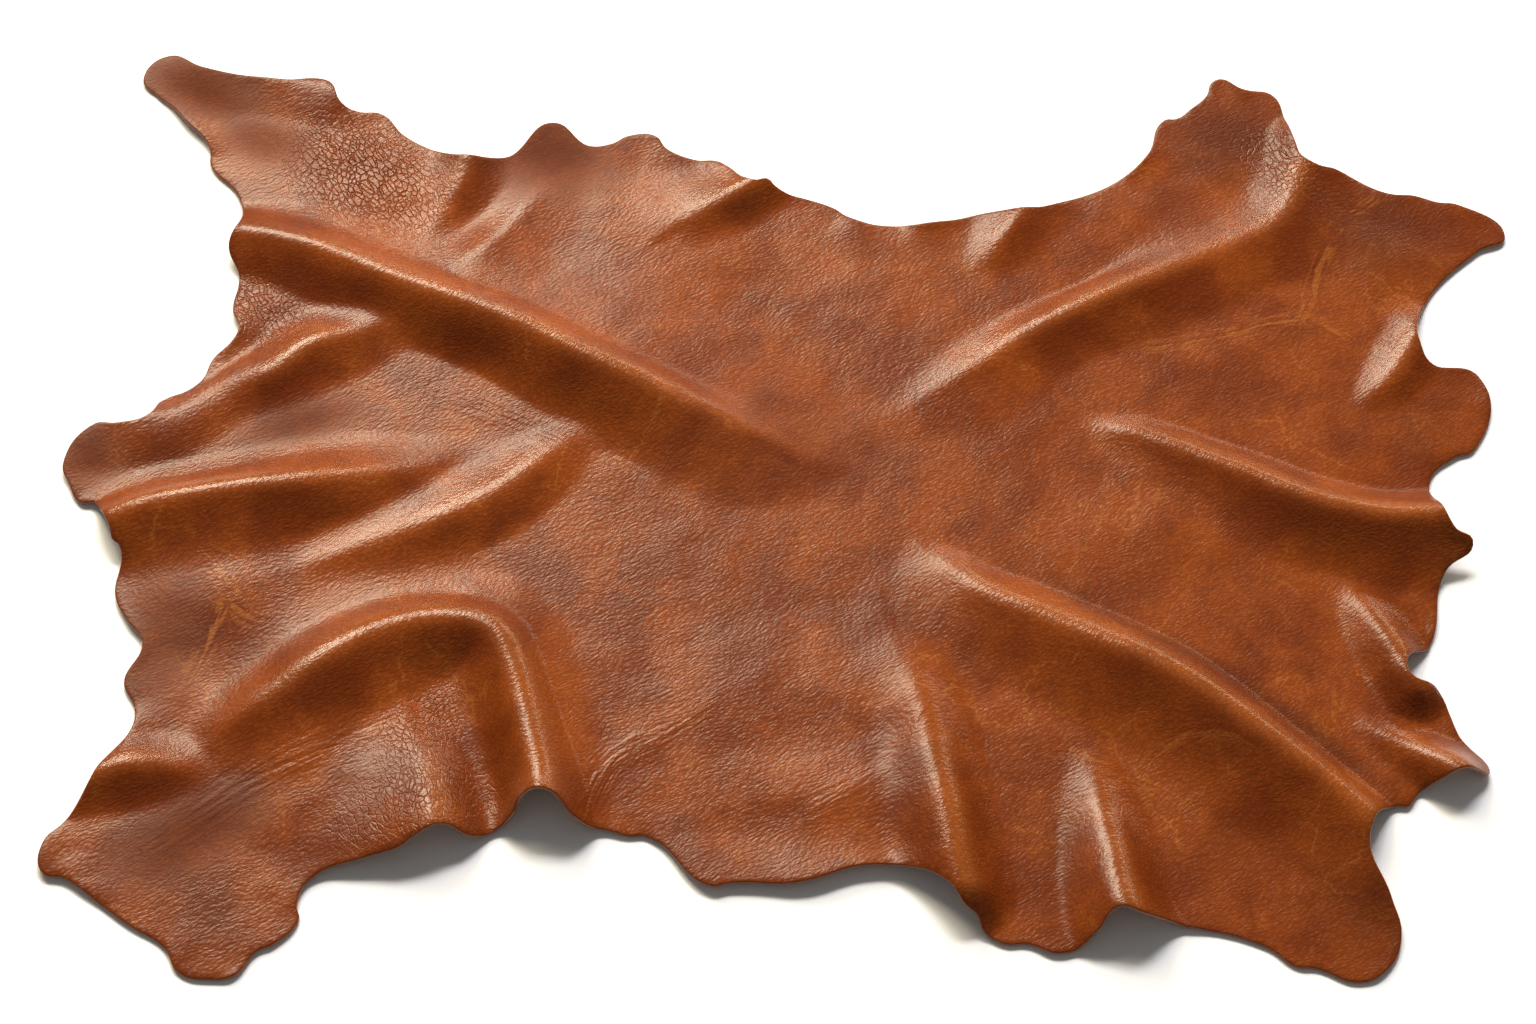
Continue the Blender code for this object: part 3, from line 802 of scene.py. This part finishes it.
def build_hide():
    """The hide as one thin closed sheet on its folds, with a rounded cut edge."""
    places, faces, rim = flat_net()
    x, y = places.T
    rim_away = rim_distance(x, y, rim)
    height = underside_height(x, y)
    height = np.clip(height + unevenness(x, y, rim_away), 0, None)
    middle = (places.min(axis=0) + places.max(axis=0)) / 2
    verts = np.column_stack([x - middle[0], y - middle[1], height]) * MM
    mesh = bpy.data.meshes.new("hide_leather")
    mesh.from_pydata(verts.tolist(), [], faces)
    mesh.update()
    if mesh.polygons[0].normal.z < 0:
        mesh.flip_normals()
    crest_place, crest_pull = crest_places(x, y)
    wrinkle_place, wrinkle_depth = band_places(x, y, WRINKLES)
    worn_place, worn_thin = band_places(x, y, WORN_LINES)
    values_by_name = {
        "crest_pull": crest_pull,
        "wrinkle_depth": wrinkle_depth,
        "worn_thin": worn_thin,
        # painted shade along the troughs beyond two crests
        "trough_shade": band_places(x, y, SHADED_TROUGHS)[1],
        "loose_skin": patch_strength(x, y, LOOSE_SKIN),
        # deeper dye, and painted shade on some slopes and flanks
        "deep_dye_and_shade": patch_strength(x, y, DEEP_DYE_AND_SHADE),
        "dulled": patch_strength(x, y, DULLED),
        # paler dye, and painted light on one shaded flank
        "pale_dye_and_light": patch_strength(x, y, PALE_DYE_AND_LIGHT),
        "rim_away": rim_away,
    }
    for name, values in values_by_name.items():
        layer = mesh.attributes.new(name, "FLOAT", "POINT")
        layer.data.foreach_set("value", values.astype(np.float32))
    places_by_name = {
        "crest_place": crest_place,
        "wrinkle_place": wrinkle_place,
        "worn_place": worn_place,
    }
    for name, values in places_by_name.items():
        layer = mesh.attributes.new(name, "FLOAT_VECTOR", "POINT")
        layer.data.foreach_set("vector", values.astype(np.float32).ravel())
    hide = bpy.data.objects.new("hide_leather", mesh)
    bpy.context.scene.collection.objects.link(hide)
    finish_sheet(hide)
    return hide


def finish_sheet(hide):
    """Give the net its thickness and round its cut edge, then shade it smooth."""
    deselect_all()
    bpy.context.view_layer.objects.active = hide
    hide.select_set(True)
    thick = hide.modifiers.new("thickness", "SOLIDIFY")
    thick.thickness = LEATHER_THICKNESS * MM
    thick.offset = 1.0
    thick.material_offset_rim = RIM_SLOT
    thick.material_offset = FLESH_SLOT
    rounding = hide.modifiers.new("rim_rounding", "BEVEL")
    rounding.width = RIM_ROUND * MM
    rounding.segments = 2
    rounding.limit_method = "ANGLE"
    rounding.angle_limit = math.radians(50)
    for material in (grain_leather(), burnished_edge(), flesh_side()):
        hide.data.materials.append(material)
    bpy.ops.object.modifier_apply(modifier="thickness")
    bpy.ops.object.modifier_apply(modifier="rim_rounding")
    bpy.ops.object.shade_smooth_by_angle(angle=math.radians(60))


# Materials ---------------------------------------------------------------------------------


def linear(hex_colour):
    """An sRGB hex colour as linear light, with alpha 1."""
    channels = [int(hex_colour[i:i + 2], 16) / 255 for i in (1, 3, 5)]
    light = [c / 12.92 if c <= 0.04045 else ((c + 0.055) / 1.055) ** 2.4 for c in channels]
    return (*light, 1.0)


def new_material(name):
    """An empty material whose surface is one Principled shader."""
    material = bpy.data.materials.new(name)
    material.use_nodes = True
    tree = material.node_tree
    tree.nodes.clear()
    output = tree.nodes.new("ShaderNodeOutputMaterial")
    shader = tree.nodes.new("ShaderNodeBsdfPrincipled")
    tree.links.new(shader.outputs["BSDF"], output.inputs["Surface"])
    return material, tree, shader


def add_node(tree, kind, inputs, **settings):
    """Add a node with its settings, and link or set each of its inputs."""
    node = tree.nodes.new(kind)
    for name, value in settings.items():
        setattr(node, name, value)
    for name, value in inputs.items():
        if isinstance(value, bpy.types.NodeSocket):
            tree.links.new(value, node.inputs[name])
        else:
            node.inputs[name].default_value = value
    return node


def leather_dye_and_shading(tree, place):
    """Base colour: an uneven dye with darker clouds and stains, paler veins, worn lines and a darker
    rim; crests paler from pull-up and a painted highlight, painted shade in troughs and on some
    slopes, and painted light on one shaded flank."""
    clouds = add_node(
        tree, "ShaderNodeTexNoise",
        {
            "Vector": place, "Scale": CLOUDS_PER_METRE, "Detail": 4.0, "Roughness": 0.55,
            "Distortion": 0.2,
        },
    )
    lights = add_node(
        tree, "ShaderNodeMapRange",
        {"Value": clouds.outputs["Fac"], "From Min": 0.36, "From Max": 0.64},
        interpolation_type="SMOOTHSTEP",
    )
    dye = add_node(
        tree, "ShaderNodeMix", {0: lights.outputs[0], 6: linear(DYE_DARK), 7: linear(DYE_LIGHT)},
        data_type="RGBA",
    )
    spots = add_node(
        tree, "ShaderNodeTexNoise",
        {
            "Vector": place, "Scale": STAINS_PER_METRE, "Detail": 4.0, "Roughness": 0.6,
            "Distortion": 0.7,
        },
    )
    stained = add_node(
        tree, "ShaderNodeMapRange",
        {"Value": spots.outputs["Fac"], "From Min": 0.54, "From Max": 0.74, "To Max": 0.35},
        interpolation_type="SMOOTHSTEP",
    )
    dye = add_node(
        tree, "ShaderNodeMix", {0: stained.outputs[0], 6: dye.outputs[2], 7: linear(DYE_STAIN)},
        data_type="RGBA",
    )
    # veins: thin paler lines between large cells, broken up by the clouds
    bent = add_node(
        tree, "ShaderNodeVectorMath",
        {0: spots.outputs["Color"], 1: (0.05, 0.05, 0.05), 2: place}, operation="MULTIPLY_ADD",
    )
    cells = add_node(
        tree, "ShaderNodeTexVoronoi", {"Vector": bent.outputs[0], "Scale": VEIN_CELLS_PER_METRE},
        feature="DISTANCE_TO_EDGE",
    )
    veins = add_node(
        tree, "ShaderNodeMapRange",
        {"Value": cells.outputs["Distance"], "From Max": 0.02, "To Min": 0.65, "To Max": 0.0},
        interpolation_type="SMOOTHSTEP",
    )
    broken = add_node(
        tree, "ShaderNodeMapRange",
        {"Value": clouds.outputs["Fac"], "From Min": 0.5, "From Max": 0.6},
    )
    veins = add_node(
        tree, "ShaderNodeMath", {0: veins.outputs[0], 1: broken.outputs[0]}, operation="MULTIPLY",
    )
    dye = add_node(
        tree, "ShaderNodeMix", {0: veins.outputs[0], 6: dye.outputs[2], 7: linear(DYE_VEIN)},
        data_type="RGBA",
    )
    for name, share, colour in PATCH_COLOURS_AND_SHADES:
        patch = add_node(tree, "ShaderNodeAttribute", {}, attribute_name=name)
        amount = add_node(
            tree, "ShaderNodeMath", {0: patch.outputs["Fac"], 1: share}, operation="MULTIPLY",
        )
        dye = add_node(
            tree, "ShaderNodeMix", {0: amount.outputs[0], 6: dye.outputs[2], 7: linear(colour)},
            data_type="RGBA",
        )
    # pull-up and painted highlight: paler where the leather is stretched over a crest, and lighter on
    # the crest tops where light would catch
    crest = add_node(tree, "ShaderNodeAttribute", {}, attribute_name="crest_pull")
    crest_line = add_node(
        tree, "ShaderNodeMath", {0: crest.outputs["Fac"], 1: 2.0}, operation="POWER",
    )
    crest_highlight_share = add_node(
        tree, "ShaderNodeMath", {0: crest_line.outputs[0], 1: 0.5}, operation="MULTIPLY",
    )
    dye = add_node(
        tree, "ShaderNodeMix", {0: crest_highlight_share.outputs[0], 6: dye.outputs[2], 7: linear(DYE_PULLED_AND_HIGHLIGHT)},
        data_type="RGBA",
    )
    # worn lines: fine scratches that run along each line, rubbed down to the paler vein colour
    worn = add_node(tree, "ShaderNodeAttribute", {}, attribute_name="worn_place")
    worn_along = add_node(
        tree, "ShaderNodeVectorMath", {0: worn.outputs["Vector"], 1: (0.15, 1.0, 1.0)},
        operation="MULTIPLY",
    )
    scratches = add_node(
        tree, "ShaderNodeTexNoise",
        {"Vector": worn_along.outputs[0], "Scale": 1000 / SCRATCH_PITCH, "Detail": 1.0},
    )
    thin = add_node(
        tree, "ShaderNodeMapRange",
        {"Value": scratches.outputs["Fac"], "From Min": 0.48, "From Max": 0.6, "To Max": 0.8},
        interpolation_type="SMOOTHSTEP",
    )
    worn_thin = add_node(tree, "ShaderNodeAttribute", {}, attribute_name="worn_thin")
    rubbed = add_node(
        tree, "ShaderNodeMath", {0: thin.outputs[0], 1: worn_thin.outputs["Fac"]},
        operation="MULTIPLY",
    )
    dye = add_node(
        tree, "ShaderNodeMix", {0: rubbed.outputs[0], 6: dye.outputs[2], 7: linear(DYE_VEIN)},
        data_type="RGBA",
    )
    # the dye soaks deeper into the last 9 mm before the cut edge
    rim = add_node(tree, "ShaderNodeAttribute", {}, attribute_name="rim_away")
    edge = add_node(
        tree, "ShaderNodeMapRange",
        {
            "Value": rim.outputs["Fac"], "From Min": 0.0, "From Max": 9.0, "To Min": 0.5,
            "To Max": 0.0,
        },
    )
    dye = add_node(
        tree, "ShaderNodeMix", {0: edge.outputs[0], 6: dye.outputs[2], 7: linear(DYE_RIM)},
        data_type="RGBA",
    )
    return dye.outputs[2]


def leather_grain(tree, place):
    """Normal and hollows of the grain, the hollows to take painted shade: pebbles drawn out along the
    hide, strokes across the crests, a cracked net where the skin is loose, and bands of fine wrinkles."""
    turned = add_node(
        tree, "ShaderNodeMapping",
        {"Vector": place, "Rotation": (0.0, 0.0, math.radians(GRAIN_TURN))},
        vector_type="TEXTURE",
    )
    warp = add_node(
        tree, "ShaderNodeTexNoise",
        {"Vector": turned.outputs[0], "Scale": WANDERS_PER_METRE, "Detail": 2.0},
    )
    wandering = add_node(
        tree, "ShaderNodeVectorMath",
        {0: warp.outputs["Color"], 1: (0.012, 0.012, 0.012), 2: turned.outputs[0]},
        operation="MULTIPLY_ADD",
    )
    drawn = add_node(
        tree, "ShaderNodeVectorMath", {0: wandering.outputs[0], 1: (0.5, 1.0, 1.0)},
        operation="MULTIPLY",
    )
    pebbles = add_node(
        tree, "ShaderNodeTexVoronoi", {"Vector": drawn.outputs[0], "Scale": 1000 / PEBBLE_PITCH},
    )
    stretched = add_node(
        tree, "ShaderNodeVectorMath", {0: wandering.outputs[0], 1: (0.3, 1.0, 1.0)},
        operation="MULTIPLY",
    )
    streaks = add_node(
        tree, "ShaderNodeTexNoise",
        {"Vector": stretched.outputs[0], "Scale": 1000 / STREAK_PITCH, "Detail": 2.0},
    )
    crest = add_node(tree, "ShaderNodeAttribute", {}, attribute_name="crest_pull")
    beside_crest = add_node(tree, "ShaderNodeAttribute", {}, attribute_name="crest_place")
    across = add_node(
        tree, "ShaderNodeVectorMath", {0: beside_crest.outputs["Vector"], 1: (1.0, 0.25, 1.0)},
        operation="MULTIPLY",
    )
    strokes = add_node(
        tree, "ShaderNodeTexNoise",
        {"Vector": across.outputs[0], "Scale": 1000 / STROKE_PITCH, "Detail": 2.0},
    )
    drawn_grain = add_node(
        tree, "ShaderNodeMix",
        {0: crest.outputs["Fac"], 2: streaks.outputs["Fac"], 3: strokes.outputs["Fac"]},
        data_type="FLOAT",
    )
    loose = add_node(tree, "ShaderNodeAttribute", {}, attribute_name="loose_skin")
    net_place = add_node(
        tree, "ShaderNodeMapping",
        {
            "Vector": place, "Rotation": (0.0, 0.0, math.radians(NET_TURN)),
            "Scale": (NET_STRETCH, 1.0, 1.0),
        },
        vector_type="TEXTURE",
    )
    net_bent = add_node(
        tree, "ShaderNodeVectorMath",
        {0: warp.outputs["Color"], 1: (0.014, 0.014, 0.014), 2: net_place.outputs[0]},
        operation="MULTIPLY_ADD",
    )
    net = add_node(
        tree, "ShaderNodeTexVoronoi", {"Vector": net_bent.outputs[0], "Scale": 1000 / NET_CELL},
        feature="DISTANCE_TO_EDGE",
    )
    cracks = add_node(
        tree, "ShaderNodeMapRange",
        {"Value": net.outputs["Distance"], "From Max": 0.14, "To Min": 0.95, "To Max": 0.0},
        interpolation_type="SMOOTHSTEP",
    )
    cracks = add_node(
        tree, "ShaderNodeMath", {0: cracks.outputs[0], 1: loose.outputs["Fac"]}, operation="MULTIPLY",
    )
    band = add_node(tree, "ShaderNodeAttribute", {}, attribute_name="wrinkle_place")
    band_place = add_node(
        tree, "ShaderNodeVectorMath", {0: band.outputs["Vector"], 1: (0.12, 1.0, 1.0)},
        operation="MULTIPLY",
    )
    lines = add_node(
        tree, "ShaderNodeTexNoise",
        {"Vector": band_place.outputs[0], "Scale": 1000 / WRINKLE_PITCH, "Detail": 1.0},
    )
    depth = add_node(tree, "ShaderNodeAttribute", {}, attribute_name="wrinkle_depth")
    wrinkles = add_node(
        tree, "ShaderNodeMath", {0: lines.outputs["Fac"], 1: depth.outputs["Fac"]}, operation="MULTIPLY",
    )
    soft = add_node(
        tree, "ShaderNodeTexNoise",
        {"Vector": wandering.outputs[0], "Scale": LUMPS_PER_METRE, "Detail": 3.0},
    )
    normal = None
    for height, relief, sunk in (
        (soft.outputs["Fac"], SOFT_RELIEF, False),
        (wrinkles.outputs[0], WRINKLE_RELIEF, False),
        (cracks.outputs[0], CRACK_RELIEF, True),
        (drawn_grain.outputs[0], STREAK_RELIEF, False),
        (pebbles.outputs["Distance"], PEBBLE_RELIEF, True),
    ):
        bump = add_node(
            tree, "ShaderNodeBump", {"Height": height, "Distance": relief * MM}, invert=sunk,
        )
        if normal:
            tree.links.new(normal, bump.inputs["Normal"])
        normal = bump.outputs["Normal"]
    # painted shade: the low streaks, the gaps between pebbles and the cracks are drawn darker
    low_streaks = add_node(
        tree, "ShaderNodeMapRange",
        {"Value": drawn_grain.outputs[0], "From Min": 0.5, "From Max": 0.34, "To Max": 0.5},
    )
    between = add_node(
        tree, "ShaderNodeMapRange",
        {"Value": pebbles.outputs["Distance"], "From Min": 0.25, "From Max": 0.6, "To Max": 0.5},
    )
    hollows = add_node(
        tree, "ShaderNodeMath", {0: between.outputs[0], 1: low_streaks.outputs[0]},
        operation="MAXIMUM",
    )
    hollows = add_node(
        tree, "ShaderNodeMath", {0: cracks.outputs[0], 1: hollows.outputs[0]}, operation="MAXIMUM",
    )
    return normal, hollows.outputs[0]


def grain_leather():
    """Aniline-dyed full grain leather, tumbled and lightly waxed: cloudy chestnut brown with a
    whitish sheen that breaks up on the fine grain."""
    material, tree, shader = new_material("tumbled_aniline_leather")
    place = add_node(tree, "ShaderNodeTexCoord", {}).outputs["Object"]
    normal, hollows = leather_grain(tree, place)
    # painted shade in the hollows of the grain
    painted_hollow_shade = add_node(tree, "ShaderNodeMath", {0: hollows, 1: HOLLOW_SHADE_SHARE}, operation="MULTIPLY")
    dye = add_node(
        tree, "ShaderNodeMix",
        {0: painted_hollow_shade.outputs[0], 6: leather_dye_and_shading(tree, place), 7: linear(DYE_HOLLOW_SHADE)},
        data_type="RGBA",
    )
    tree.links.new(dye.outputs[2], shader.inputs["Base Color"])
    tree.links.new(normal, shader.inputs["Normal"])
    crest = add_node(tree, "ShaderNodeAttribute", {}, attribute_name="crest_pull")
    gloss = add_node(
        tree, "ShaderNodeMapRange",
        {"Value": crest.outputs["Fac"], "To Min": ROUGH_FLAT, "To Max": ROUGH_CREST},
    )
    dulled = add_node(tree, "ShaderNodeAttribute", {}, attribute_name="dulled")
    roughness = add_node(
        tree, "ShaderNodeMath", {0: dulled.outputs["Fac"], 1: ROUGH_DULLED, 2: gloss.outputs[0]},
        operation="MULTIPLY_ADD",
    )
    tree.links.new(roughness.outputs[0], shader.inputs["Roughness"])
    shader.inputs["IOR"].default_value = 1.42
    return material


def burnished_edge():
    """Cut edge of the hide, burnished and stained: a dark, slightly glossy brown line."""
    material, tree, shader = new_material("burnished_cut_edge")
    shader.inputs["Base Color"].default_value = linear("#7E421F")
    shader.inputs["Roughness"].default_value = 0.38
    shader.inputs["IOR"].default_value = 1.5
    return material


def flesh_side():
    """Suede-like flesh side of the hide: matt, paler and without grain."""
    material, tree, shader = new_material("split_flesh_side")
    place = add_node(tree, "ShaderNodeTexCoord", {}).outputs["Object"]
    nap = add_node(
        tree, "ShaderNodeTexNoise",
        {"Vector": place, "Scale": NAP_PATCHES_PER_METRE, "Detail": 5.0, "Roughness": 0.65},
    )
    tone = add_node(
        tree, "ShaderNodeMix",
        {0: nap.outputs["Fac"], 6: linear("#8A6248"), 7: linear("#A98062")}, data_type="RGBA",
    )
    fibres = add_node(
        tree, "ShaderNodeTexNoise", {"Vector": place, "Scale": FIBRES_PER_METRE, "Detail": 3.0},
    )
    bump = add_node(
        tree, "ShaderNodeBump", {"Height": fibres.outputs["Fac"], "Distance": FIBRE_RELIEF * MM},
    )
    tree.links.new(tone.outputs[2], shader.inputs["Base Color"])
    tree.links.new(bump.outputs["Normal"], shader.inputs["Normal"])
    shader.inputs["Roughness"].default_value = 0.9
    shader.inputs["IOR"].default_value = 1.5
    return material


# Studio: a floor this wide and this far under the hide, in metres, and the colours of its lights
FLOOR_SIZE = 12.0
FLOOR_DROP = 0.0004
WARM_WHITE = "#FFF4D8"
COOL_WHITE = "#FBFAFF"
SURROUND_STRENGTH = 0.17

# Camera: degrees above the floor, distance and aim in metres, and lens in millimetres
CAMERA_ELEVATION = 60.0
CAMERA_DISTANCE = 2.60
CAMERA_LENS = 86.72
CAMERA_SENSOR = 36.0
CAMERA_AIM = (-0.021, -0.0198, 0.0)


def floor_material():
    """Matt white studio paper: a plain pale ground."""
    material, tree, shader = new_material("matt_white_paper")
    shader.inputs["Base Color"].default_value = linear("#F4F3F1")
    shader.inputs["Roughness"].default_value = 0.9
    shader.inputs["IOR"].default_value = 1.5
    return material


def studio_floor():
    """A plain floor, a hair under the hide."""
    deselect_all()
    bpy.ops.mesh.primitive_plane_add(size=FLOOR_SIZE, location=(0.0, 0.0, -FLOOR_DROP))
    floor = bpy.context.active_object
    floor.name = "floor"
    floor.data.materials.append(floor_material())


def area_light(name, place, aim, size, power, colour, reflected=True):
    """A rectangular softbox aimed at a place; one that isn't reflected only brightens."""
    light = bpy.data.lights.new(name, "AREA")
    light.shape = "RECTANGLE"
    light.size, light.size_y = size
    light.energy = power
    light.color = linear(colour)[:3]
    lamp = bpy.data.objects.new(name, light)
    bpy.context.scene.collection.objects.link(lamp)
    lamp.location = place
    lamp.rotation_euler = (Vector(aim) - Vector(place)).to_track_quat("-Z", "Y").to_euler()
    lamp.visible_glossy = reflected


def studio_lights():
    """Light from behind the hide: a softbox whose reflection gives the sheen, two strips
    that draw the waxed crests, and a far light and a surround that only brighten."""
    area_light("key_softbox", (-1.45, 3.3, 3.5), (-0.1, 0.0, 0.0), (1.8, 1.8), 156.0, WARM_WHITE)
    area_light("bright_strip", (-1.1, 2.35, 1.75), (-0.1, 0.0, 0.0), (2.4, 0.16), 50.0, WARM_WHITE)
    area_light("low_strip", (1.1, 2.8, 1.1), (0.2, 0.0, 0.0), (2.8, 0.22), 26.0, WARM_WHITE)
    area_light(
        "far_light", (0.4, 4.2, 4.6), (0.0, 0.0, 0.0), (2.4, 1.0), 375.0, COOL_WHITE,
        reflected=False,
    )
    world = bpy.data.worlds.new("bright_studio")
    bpy.context.scene.world = world
    world.use_nodes = True
    background = world.node_tree.nodes["Background"]
    background.inputs["Color"].default_value = linear("#FFFFFF")
    background.inputs["Strength"].default_value = SURROUND_STRENGTH
    world.cycles_visibility.glossy = False
    bpy.context.scene.view_settings.view_transform = "Standard"


def studio_camera():
    """A long lens that looks down on the hide from its near side."""
    lens = bpy.data.cameras.new("studio_camera")
    lens.lens = CAMERA_LENS
    lens.sensor_width = CAMERA_SENSOR
    camera = bpy.data.objects.new("studio_camera", lens)
    bpy.context.scene.collection.objects.link(camera)
    elevation = math.radians(CAMERA_ELEVATION)
    back = Vector((0.0, -math.cos(elevation), math.sin(elevation)))
    camera.location = Vector(CAMERA_AIM) + back * CAMERA_DISTANCE
    camera.rotation_euler = (math.pi / 2 - elevation, 0.0, 0.0)
    bpy.context.scene.camera = camera


def main():
    hide = build_hide()
    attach(hide, "root")
    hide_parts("hide")
    studio_floor()
    studio_lights()
    studio_camera()


main()
